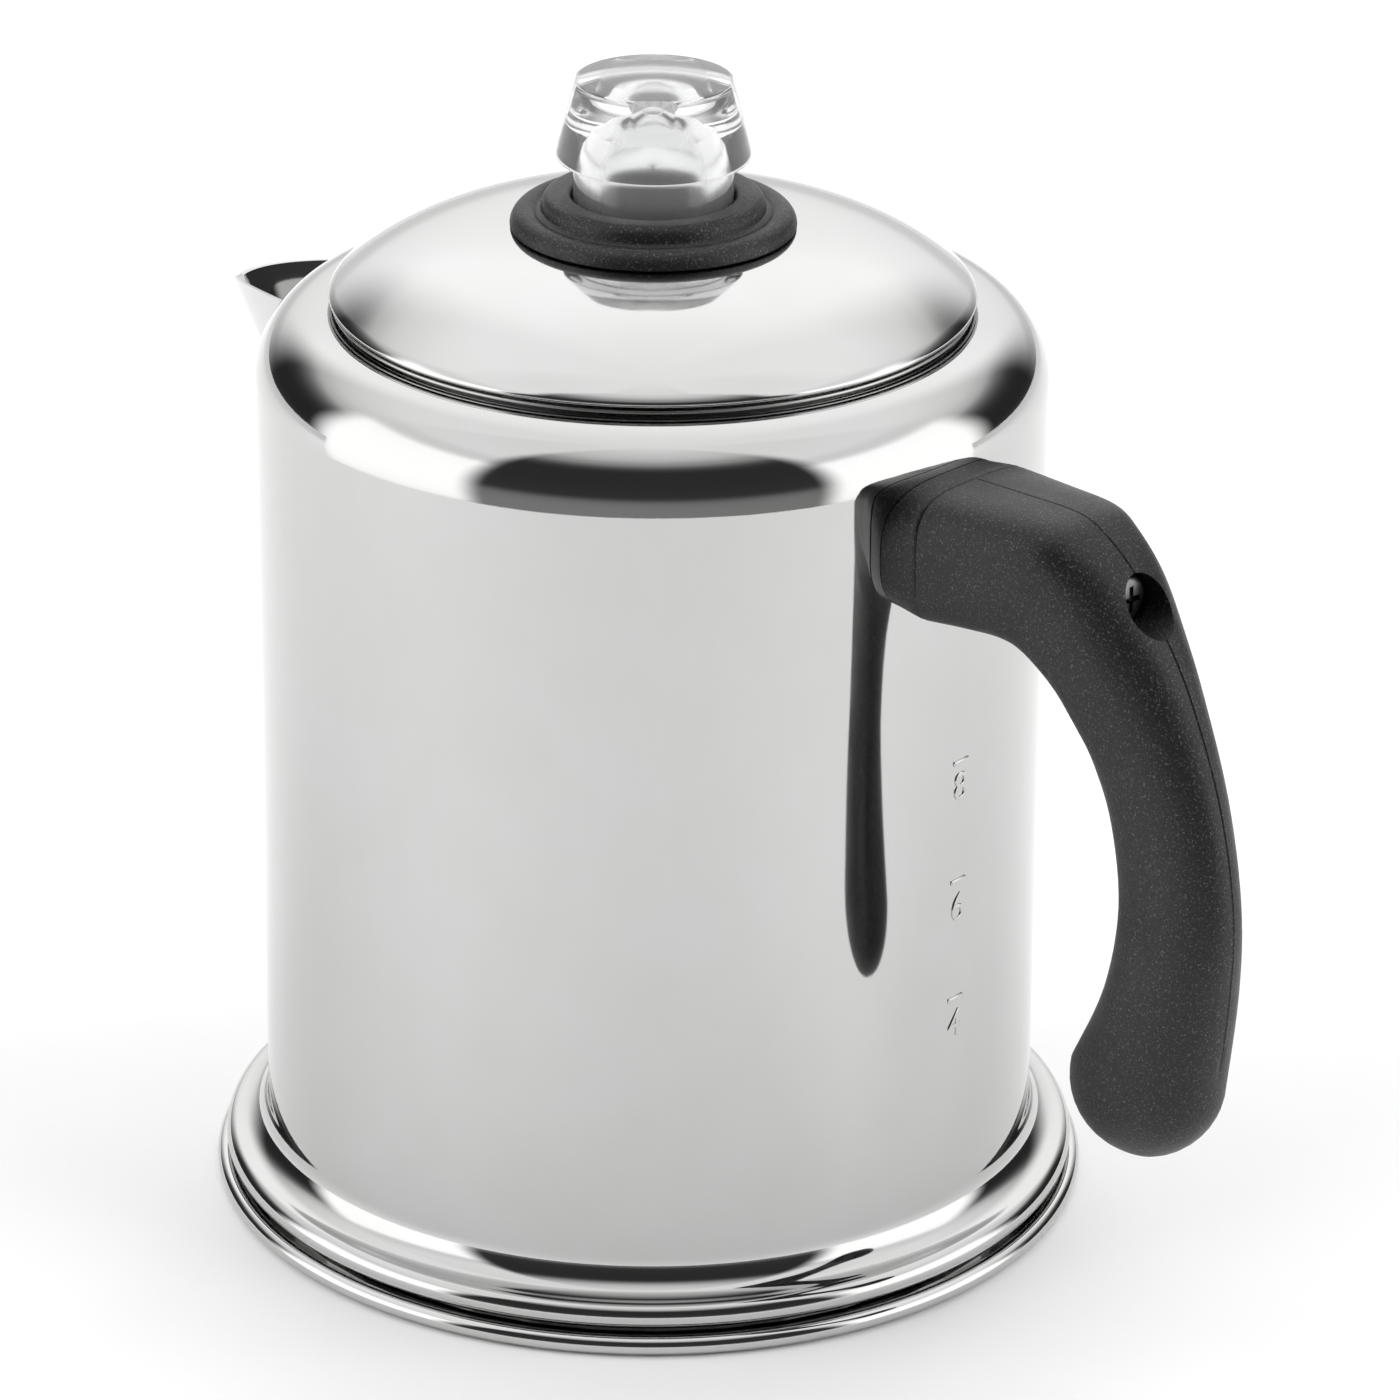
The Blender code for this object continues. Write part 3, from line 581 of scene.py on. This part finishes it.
def section_points(section, sides, groove=0.0, grow=0.0):
    """A rounded oblong from the outer to the inner edge, with a fine groove down its spine."""
    outer_x, outer_z, inner_x, inner_z, half, square = section
    middle = Vector(((outer_x + inner_x) / 2.0, 0.0, (outer_z + inner_z) / 2.0))
    depth = Vector(((outer_x - inner_x) / 2.0, 0.0, (outer_z - inner_z) / 2.0))
    depth = depth * (1.0 + grow / depth.length)
    half = half + grow
    groove_half_width = 0.00022
    points = []
    for side in range(sides):
        angle = 2.0 * math.pi * side / sides
        cos_a, sin_a = math.cos(angle), math.sin(angle)
        along = math.copysign(abs(cos_a) ** (2.0 / square), cos_a)
        across = math.copysign(abs(sin_a) ** (2.0 / square), sin_a)
        if side == 0:
            for y, sink in ((-groove_half_width, 0.0), (0.0, groove), (groove_half_width, 0.0)):
                points.append(middle + depth * (1.0 - sink / depth.length) + Vector((0, y, 0)))
        else:
            points.append(middle + depth * along + Vector((0.0, half * across, 0.0)))
    return points


def grip():
    """Moulded grip with a wide root, a slim waist, a heavy free end and the screw's recess."""
    sides, groove = 56, 0.00022
    run = flowing_sections(GRIP_SECTIONS, 6)
    rings = []
    for section in run:
        fade = min(1.0, max(0.0, (section[1] - PARTING_LINE_END) / 0.004))
        rings.append(section_points(section, sides, groove * fade))
    last, end_ring = run[-1], rings[-1]
    middle = Vector(((last[0] + last[2]) / 2.0, 0.0, (last[1] + last[3]) / 2.0))
    for degrees in range(7, 88, 8):
        scale, push = math.cos(math.radians(degrees)), math.sin(math.radians(degrees))
        rings.append([middle + (point - middle) * scale + GRIP_END * push for point in end_ring])
    piece = lofted("grip", rings)
    cut(piece, drill("recess", RECESS_RADIUS, (RECESS_FLOOR, 0.0, SCREW_HEIGHT),
                     (0.1250, 0.0, SCREW_HEIGHT), 64))
    soften(piece, 40.0)
    return piece


def ferrule():
    """Black collar between the wall and the grip, rounder where it meets the pot."""
    (_, top), (_, bottom), _, _ = GRIP_SECTIONS[0]
    rings = []
    for x, half, square, grow in ((0.0600, 0.0156, 2.7, 0.0), (0.0670, 0.0154, 2.9, 0.0),
                                  (0.0690, 0.0152, 3.2, 0.0), (0.0710, 0.0149, 3.7, 0.0),
                                  (0.0724, 0.0148, 4.0, 0.0), (0.0730, 0.0148, 4.0, -0.0001),
                                  (FERRULE_END, 0.0148, 4.0, -0.0003)):
        shape = [x, top, x, bottom, half, square]
        rings.append([Vector((x, p.y, p.z)) for p in section_points(shape, 72, 0.0, grow)])
    collar = lofted("ferrule", rings)
    cut(collar, pot_drum())
    cut(collar, block("bracket_room", (0.0600, -0.0112, 0.1296), (0.0800, 0.0112, 0.1464)))
    soften(collar, 40.0)
    return collar


def cross_screw():
    """Pan-head screw with a cross slot, its head at the bottom of the recess."""
    length, shank, shank_end = SCREW_HEAD_LENGTH, 0.0020, -0.0286
    outline = [(0.0, shank_end), (shank, shank_end), (shank, 0.0), (0.0041, 0.0),
               (0.0041, length * 0.35)]
    outline += arc((0.0026, length * 0.35), 0.0015, 0.0, 75.0, 8)
    outline += [(0.0016, length * 0.98), (0.0, length)]
    screw = turned("cross_screw", outline, 48)
    pick_only(screw)
    screw.rotation_euler = (0.0, math.pi / 2.0, 0.0)
    screw.location = (SCREW_HEAD_BACK, 0.0, SCREW_HEIGHT)
    name_new("cross_screw")
    face = SCREW_HEAD_BACK + length
    wing, arm, depth = 0.0023, 0.0005, 0.0013
    tall = block("slot", (face - depth, -arm, SCREW_HEIGHT - wing),
                 (face + depth, arm, SCREW_HEIGHT + wing))
    wide = block("slot_across", (face - depth, -wing, SCREW_HEIGHT - arm),
                 (face + depth, wing, SCREW_HEIGHT + arm))
    cut(tall, wide, "UNION")
    cut(screw, tall)
    soften(screw, 30.0)
    return screw


# ---- lid ---------------------------------------------------------------------------------------
def dome_height(radius):
    """Height of the lid's upper face at a radius."""
    return LID_EDGE_HEIGHT + LID_RISE * (1.0 - (radius / LID_EDGE_RADIUS) ** LID_CROWN_POWER)


def lid_shell():
    """Domed disc, its edge folded under, with the hole for the collar's hub."""
    steps = 44
    radii = [LID_HOLE_RADIUS + (LID_EDGE_RADIUS - 0.0004 - LID_HOLE_RADIUS) * (i / steps) ** 0.8
             for i in range(steps + 1)]
    top = [(radius, dome_height(radius)) for radius in radii]
    fold = arc((LID_EDGE_RADIUS - 0.00045, 0.16415), 0.00062, 48.0, -90.0, 10)
    under = [(0.0538, 0.16358), (0.0533, 0.1638)]
    under += [(radius, dome_height(radius) - THIN_SHEET * 1.15) for radius in radii[-5::-1]]
    return turned("lid_shell", top + fold + under, FINE_ROUND)


def lid_plug():
    """Ring under the dome that plugs the mouth, with the flange that rests on the rim."""
    outer, inner = 0.0526, 0.0526 - THIN_SHEET
    outline = [(inner, 0.1522), (inner, 0.1630), (0.0544, 0.1630)]
    outline += arc((0.0544, 0.16265), 0.00035, 90.0, -90.0, 8)
    outline += [(0.0530, 0.1623), (outer, 0.1619), (outer, 0.1522), (0.05225, 0.1519)]
    return turned("lid_plug", outline, FINE_ROUND)


def knob_collar():
    """Two-step black collar: a raised inner ring in a broad round outer one."""
    hole = 0.0141
    outline = [(hole, 0.1716), (hole, 0.1809)]
    outline += arc((hole + 0.0007, 0.1811), 0.0007, 180.0, 96.0, 6)
    outline += arc((0.0171, 0.1799), 0.0019, 92.0, 12.0, 14)
    outline += [(0.01905, 0.1797), (0.0192, 0.1792)]
    outline += arc((0.0216, 0.1764), 0.0028, 122.0, 2.0, 26)
    outline += arc((0.0242, 0.1764), 0.0002, 0.0, -90.0, 4)
    outline += [(0.0149, 0.1767), (0.0149, 0.1716)]
    return turned("knob_collar", outline, 160)


def glass_knob():
    """Clear head on a straight neck, hollow inside, with four scooped finger facets."""
    cavity = KNOB_CAVITY_RADIUS
    outline = [(cavity, 0.1700), (0.0130, 0.1700)]
    outline += arc((0.0132, 0.17045), 0.00045, -90.0, 0.0, 5)
    outline += [(0.01365, height) for height in (0.1712, 0.1730, 0.1760, 0.1800, 0.1840, 0.1866)]
    outline += arc((0.0143, 0.1874), 0.00065, 180.0, 90.0, 6)
    outline += [(0.0152, 0.18815), (0.0160, 0.1883)]
    outline += arc((0.0163, 0.1887), 0.0003, -60.0, 12.0, 5)
    outline += [(0.01640, 0.1896), (0.01590, 0.1918), (0.01535, 0.1943), (0.01480, 0.1968),
                (0.01425, 0.1990), (0.01390, 0.2003)]
    outline += arc((0.0127, 0.2009), 0.0012, 10.0, 78.0, 8)
    outline += [(0.0115, 0.20224), (0.0090, 0.20235), (0.0060, 0.20239), (0.0, 0.2024)]
    shell = [(0.0, 0.1965), (0.0020, 0.19635)] + arc((0.0, 0.1900), 0.0065, 72.0, 30.0, 10)
    shell += [(0.0069, 0.1922), (0.0080, 0.1893), (0.0085, 0.1866), (cavity, 0.1840),
              (cavity, 0.1780)]
    knob = turned("glass_knob", outline + shell, 160)
    low, high = Vector((0.0163, 0.0, 0.1905)), Vector((0.0122, 0.0, 0.2035))
    lean = (high - low).normalized()
    out = Vector((lean.z, 0.0, -lean.x)) * SCOOP_RADIUS
    for quarter in range(4):
        turn = CAMERA_AZIMUTH + (quarter - 1.0) * math.pi / 2.0
        start, end = [Vector((p.x * math.cos(turn), p.x * math.sin(turn), p.z))
                      for p in (low + out - lean * 0.02, high + out + lean * 0.02)]
        cut(knob, drill("scoop", SCOOP_RADIUS, start, end, 192))
    lugs = [block("lug", (-0.0035, 0.0120, 0.1700), (0.0035, 0.0147, 0.1712)),
            block("lug", (-0.0035, -0.0147, 0.1700), (0.0035, -0.0120, 0.1712))]
    cut(knob, joined(lugs), "UNION")
    soften(knob, 24.0)
    return knob


# ---- brewing stack -----------------------------------------------------------------------------
def stem_tube():
    """Stem with the flared lip that keeps the valve washer on."""
    outline = [(0.0041, 0.1578), (0.0043, 0.1580), (0.0047, 0.1580), (0.0048, 0.1578),
               (0.0048, 0.0094), (0.0062, 0.0088), (0.0062, 0.0080), (0.0041, 0.0080)]
    return turned("stem_tube", outline, 64)


def stem_stop():
    """Stop on the stem that carries the basket."""
    outline = [(STEM_FIT, 0.0935), (0.0068, 0.0935), (0.0090, 0.0950), (0.0090, 0.0963),
               (0.0088, 0.0965), (STEM_FIT, 0.0965)]
    return turned("stem_stop", outline, 64)


def stem_bell():
    """Bell foot, notched at its rim for the water to come in."""
    outline = [(STEM_FIT, 0.0220), (0.0060, 0.0220), (0.0060, 0.0190)]
    outline += arc((0.0085, 0.0190), 0.0025, 180.0, 248.0, 8)
    outline += [(0.0120, 0.0154), (0.0200, 0.0126), (0.0260, 0.0105), (0.0290, 0.0097),
                (0.0302, 0.0090), (0.0308, 0.0080), (0.0312, 0.0058), (0.0304, 0.0058),
                (0.0300, 0.0076), (0.0294, 0.0085), (0.0256, 0.0098), (0.0196, 0.0119),
                (0.0116, 0.0147), (0.0087, 0.0158), (STEM_FIT, 0.0176)]
    bell = turned("stem_bell", outline, 96)
    notches = []
    for quarter in range(4):
        angle = math.radians(45.0 + 90.0 * quarter)
        notches.append(drill("notch", 0.0024,
                             (0.027 * math.cos(angle), 0.027 * math.sin(angle), 0.0056),
                             (0.034 * math.cos(angle), 0.034 * math.sin(angle), 0.0056)))
    return cut(bell, joined(notches))


def ring_of_holes(radius, circles, low, high):
    """Upright drills on circles of (pitch radius, count)."""
    holes = []
    for pitch, count in circles:
        for index in range(count):
            angle = 2.0 * math.pi * (index + 0.5 * (count % 4 == 0)) / count
            spot = (pitch * math.cos(angle), pitch * math.sin(angle))
            holes.append(drill("hole", radius, (*spot, low), (*spot, high), 10))
    return joined(holes)


def coffee_basket():
    """Cup for the ground coffee with a fine sieve in its floor and a turned rim."""
    radius, floor, rim = 0.0495, BASKET_FLOOR, 0.1410
    outline = [(0.0054, floor), (0.0300, floor)]
    outline += arc((radius - 0.0030, floor + 0.0030), 0.0030, -90.0, 0.0, 10)
    outline += [(radius, 0.1050), (radius, 0.1200), (radius, 0.1360), (radius, rim - 0.0018)]
    outline += arc((radius + 0.00035, rim - 0.00065), 0.00065, -80.0, 90.0, 8)
    outline += [(radius - THIN_SHEET, rim), (radius - THIN_SHEET, 0.1200),
                (radius - THIN_SHEET, 0.1030)]
    outline += arc((radius - 0.0030, floor + 0.0030), 0.0023, 0.0, -90.0, 8)
    outline += [(0.0300, floor + THIN_SHEET), (0.0054, floor + THIN_SHEET)]
    basket = turned("coffee_basket", outline, 128)
    circles = ((0.0130, 12), (0.0180, 18), (0.0230, 24), (0.0280, 30), (0.0330, 36), (0.0380, 42))
    return cut(basket, ring_of_holes(0.0008, circles, floor - 0.002, floor + 0.003))


def basket_tube():
    """Centre tube of the basket, which slides over the stem."""
    floor = BASKET_FLOOR + THIN_SHEET + GAP
    outline = [(0.0054, 0.1435), (0.0061, 0.1435), (0.0061, floor + 0.0012),
               (0.0066, floor + 0.0008), (0.0095, floor + 0.0006), (0.0095, floor),
               (0.0054, floor)]
    return turned("basket_tube", outline, 64)


def spreader():
    """Dished cover of the basket, sieved, that spreads the water over the coffee."""
    outline = [(0.0064, 0.1402), (0.0071, 0.1402), (0.0074, 0.1408), (0.0250, 0.1404),
               (0.0440, 0.1400), (0.0452, 0.1402), (0.0470, 0.1414), (0.0512, 0.1413),
               (0.0515, 0.1417), (0.0512, 0.1420), (0.0467, 0.1421), (0.0450, 0.1410),
               (0.0438, 0.1407), (0.0250, 0.1411), (0.0074, 0.1415), (0.0064, 0.1412)]
    plate = turned("spreader", outline, 128)
    circles = ((0.0130, 12), (0.0190, 16), (0.0250, 20), (0.0310, 24), (0.0370, 28))
    return cut(plate, ring_of_holes(0.0009, circles, 0.1385, 0.1430))


# ---- studio ------------------------------------------------------------------------------------
def camera():
    """Long lens from the handle side, looking down a little, with a slight roll."""
    sin_a, cos_a = math.sin(CAMERA_AZIMUTH), math.cos(CAMERA_AZIMUTH)
    sin_e, cos_e = math.sin(CAMERA_ELEVATION), math.cos(CAMERA_ELEVATION)
    back = Vector((sin_a * cos_e, -cos_a * cos_e, sin_e))
    right = Vector((cos_a, sin_a, 0.0))
    up = Vector((-sin_a * sin_e, cos_a * sin_e, cos_e))
    data = bpy.data.cameras.new("camera")
    data.lens = 171.9
    data.sensor_width = 36.0
    data.clip_end = 20.0
    seat = bpy.data.objects.new("camera", data)
    bpy.context.scene.collection.objects.link(seat)
    shift = right * CAMERA_SHIFT[0] + up * CAMERA_SHIFT[1]
    seat.location = CAMERA_PIVOT + back * CAMERA_DISTANCE + shift
    aim = (-back).to_track_quat("-Z", "Y").to_matrix()
    seat.rotation_euler = (aim @ Matrix.Rotation(CAMERA_ROLL, 3, "Z")).to_euler()
    bpy.context.scene.camera = seat


def white_floor():
    """Pale paper on a table: it ends in a half round in front and runs far back behind."""
    clear_bench()
    bpy.ops.mesh.primitive_circle_add(vertices=128, radius=FLOOR_RADIUS, fill_type="NGON",
                                      location=(0.0, 0.0, -0.0001))
    floor = name_new("floor")
    sin_a, cos_a = math.sin(CAMERA_AZIMUTH), math.cos(CAMERA_AZIMUTH)
    for vert in floor.data.vertices:
        away = cos_a * vert.co.y - sin_a * vert.co.x
        if away > 0.08:
            vert.co.x *= FLOOR_RUN
            vert.co.y *= FLOOR_RUN
    paper = Finish("white_paper")
    paper.feed("Base Color", paper.colours(paper.noise(30.0), (
        (0.3, (0.955, 0.955, 0.955)), (0.7, (0.97, 0.97, 0.97)))))
    paper.feed("Roughness", paper.between(paper.noise(80.0), 0.85, 0.95))
    floor.data.materials.append(paper.material)


def studio_light():
    """A white room: softboxes at both sides and overhead, a dark gap where the camera stands."""
    world = bpy.data.worlds.new("studio")
    bpy.context.scene.world = world
    world.use_nodes = True
    nodes, links = world.node_tree.nodes, world.node_tree.links
    nodes.clear()

    def reckon(operation, first, second=None):
        node = nodes.new("ShaderNodeMath")
        node.operation = operation
        for socket, value in zip(node.inputs, (first, second)):
            if isinstance(value, (int, float)):
                socket.default_value = value
            elif value is not None:
                links.new(value, socket)
        return node.outputs[0]

    def ramp(value, start, end, way="SMOOTHSTEP"):
        """0 at an angle of start degrees, 1 at end."""
        node = nodes.new("ShaderNodeMapRange")
        node.interpolation_type = way
        node.inputs["From Min"].default_value = math.radians(start)
        node.inputs["From Max"].default_value = math.radians(end)
        links.new(value, node.inputs["Value"])
        return node.outputs[0]

    def curve(value, stops):
        """Brightness at a few heights above the horizon, in degrees, eased between them."""
        node = nodes.new("ShaderNodeFloatCurve")
        points = node.mapping.curves[0].points
        while len(points) < len(stops):
            points.new(0.5, 0.5)
        for point, (degrees, level) in zip(points, stops):
            point.location = ((degrees + 90.0) / 180.0, level / 2.0)
            point.handle_type = "AUTO_CLAMPED"
        node.mapping.update()
        links.new(ramp(value, -90.0, 90.0, "LINEAR"), node.inputs["Value"])
        return reckon("MULTIPLY", node.outputs[0], 2.0)

    def blend(share, first, second):
        """first where share is 0, second where it is 1."""
        return reckon("ADD", reckon("MULTIPLY", first, reckon("SUBTRACT", 1.0, share)),
                      reckon("MULTIPLY", second, share))

    apart = nodes.new("ShaderNodeSeparateXYZ")
    links.new(nodes.new("ShaderNodeTexCoord").outputs["Generated"], apart.inputs[0])
    x, y, z = apart.outputs
    sin_a, cos_a = math.sin(CAMERA_AZIMUTH), math.cos(CAMERA_AZIMUTH)
    front = reckon("SUBTRACT", reckon("MULTIPLY", x, sin_a), reckon("MULTIPLY", y, cos_a))
    side = reckon("ADD", reckon("MULTIPLY", x, cos_a), reckon("MULTIPLY", y, sin_a))
    swing = reckon("ABSOLUTE", reckon("ARCTAN2", side, front))
    rise = reckon("ARCSINE", z)
    sky = curve(rise, SKY_LEVELS)
    front_gap = curve(rise, GAP_LEVELS)
    softbox = curve(rise, BOX_LEVELS)
    rear_side = curve(rise, REAR_SIDE_LEVELS)
    glow = blend(ramp(swing, 47.0, 57.0), front_gap, softbox)
    glow = blend(ramp(swing, 100.0, 113.0), glow, rear_side)
    glow = blend(ramp(swing, 138.0, 162.0), glow, sky)
    room = nodes.new("ShaderNodeBackground")
    links.new(glow, room.inputs["Strength"])
    plain = nodes.new("ShaderNodeBackground")
    plain.inputs["Strength"].default_value = 1.0
    rays = nodes.new("ShaderNodeLightPath").outputs
    mix = nodes.new("ShaderNodeMixShader")
    links.new(reckon("MAXIMUM", rays["Is Camera Ray"], rays["Is Transmission Ray"]), mix.inputs[0])
    links.new(room.outputs[0], mix.inputs[1])
    links.new(plain.outputs[0], mix.inputs[2])
    for background in (room, plain):
        background.inputs["Color"].default_value = (1.0, 1.0, 1.0, 1.0)
    output = nodes.new("ShaderNodeOutputWorld")
    links.new(mix.outputs[0], output.inputs["Surface"])
    bpy.context.scene.view_settings.view_transform = "Standard"


def side_lamps():
    """Soft lamps at both sides and behind that brighten the paper and the black moulding."""
    distance, height = 1.0, 0.55
    for degrees, power in ((78.0, 3.6), (-78.0, 3.6), (180.0, 2.0)):
        turn = CAMERA_AZIMUTH - math.pi / 2.0 + math.radians(degrees)
        lamp = bpy.data.lights.new("soft_lamp", "AREA")
        lamp.size = 0.8
        lamp.energy = power
        seat = bpy.data.objects.new("soft_lamp", lamp)
        seat.location = (distance * math.cos(turn), distance * math.sin(turn), height)
        seat.rotation_euler = (-Vector(seat.location)).to_track_quat("-Z", "Y").to_euler()
        seat.visible_glossy = False
        seat.visible_camera = False
        seat.visible_transmission = False
        bpy.context.scene.collection.objects.link(seat)


# ---- assembly ----------------------------------------------------------------------------------
def make_pot(steel, black):
    """Everything that stays with the pot; returns the two finishes that others share."""
    finish_piece(pot_shell(), steel, "pot", "pot_steel", "body_shell")
    finish_piece(level_marks(), steel, "pot", "pot_steel")
    finish_piece(foot_cap(), polished_steel("base_steel", 0.60, lines=3200.0), "pot", "base_steel",
                 "base_cap")
    inner = satin_metal("inner_steel", 0.56)
    finish_piece(pan_floor(), inner, "pot", "inner_steel", "floor_pan")
    finish_piece(beak_spout(), polished_steel("spout_steel", 0.60, 0.04, 0.10), "pot",
                 "spout_steel", "spout")
    finish_piece(grip(), black, "pot", "grip_plastic", "handle_grip")
    finish_piece(ferrule(), black_moulding("ferrule_plastic", 0.013), "pot", "ferrule_plastic",
                 "handle_ferrule")
    screw = satin_metal("screw_steel", 0.20, low=0.22, high=0.38, lines=5200.0)
    finish_piece(cross_screw(), screw, "pot", "screw_steel", "handle_screw")
    return inner, screw


def make_stack(inner):
    """The stem, what rides on it and the basket."""
    stem = satin_metal("stem_aluminium", 0.66, lines=3000.0)
    finish_piece(stem_tube(), stem, "stem", "stem_aluminium", "pump_tube")
    finish_piece(stem_stop(), stem, "stem", "stem_aluminium", "pump_collar")
    finish_piece(stem_bell(), stem, "stem", "stem_aluminium", "pump_bell")
    basket = satin_metal("basket_steel", 0.58)
    finish_piece(coffee_basket(), basket, "basket", "basket_steel", "basket_cup")
    finish_piece(basket_tube(), basket, "basket", "basket_steel", "basket_sleeve")
    finish_piece(spreader(), satin_metal("spreader_steel", 0.60), "spreader", "spreader_steel",
                 "spreader_plate")


def make_lid(inner):
    """The lid with its plug ring, collar and glass knob."""
    finish_piece(lid_shell(), polished_steel("lid_steel", 0.62, 0.03, 0.09), "lid", "lid_steel",
                 "lid_dome")
    finish_piece(lid_plug(), inner, "lid", "inner_steel", "lid_skirt")
    finish_piece(knob_collar(), black_moulding("collar_plastic", 0.015, 0.38, 0.54), "lid",
                 "collar_plastic", "lid_collar")
    finish_piece(glass_knob(), pressed_glass("knob_glass"), "knob", "knob_glass", "glass_knob")


def refinish_hidden(screw):
    """Better finishes for the small pieces that keep their own shape."""
    looks = {"base_core": satin_metal("core_aluminium", 0.68),
             "handle_bracket": satin_metal("bracket_steel", 0.50),
             "screw_washer": screw,
             "valve_washer": satin_metal("valve_aluminium", 0.66, low=0.30, high=0.50),
             "collar_clip": satin_metal("clip_steel", 0.52)}
    for node, material in looks.items():
        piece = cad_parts[node]
        for place in piece.material_slots:
            place.material = material


camera()
studio_light()
side_lamps()
white_floor()
inner_steel, screw_steel = make_pot(polished_steel("pot_steel", 0.56),
                                    black_moulding("grip_plastic"))
make_stack(inner_steel)
make_lid(inner_steel)
refinish_hidden(screw_steel)
clear_bench()
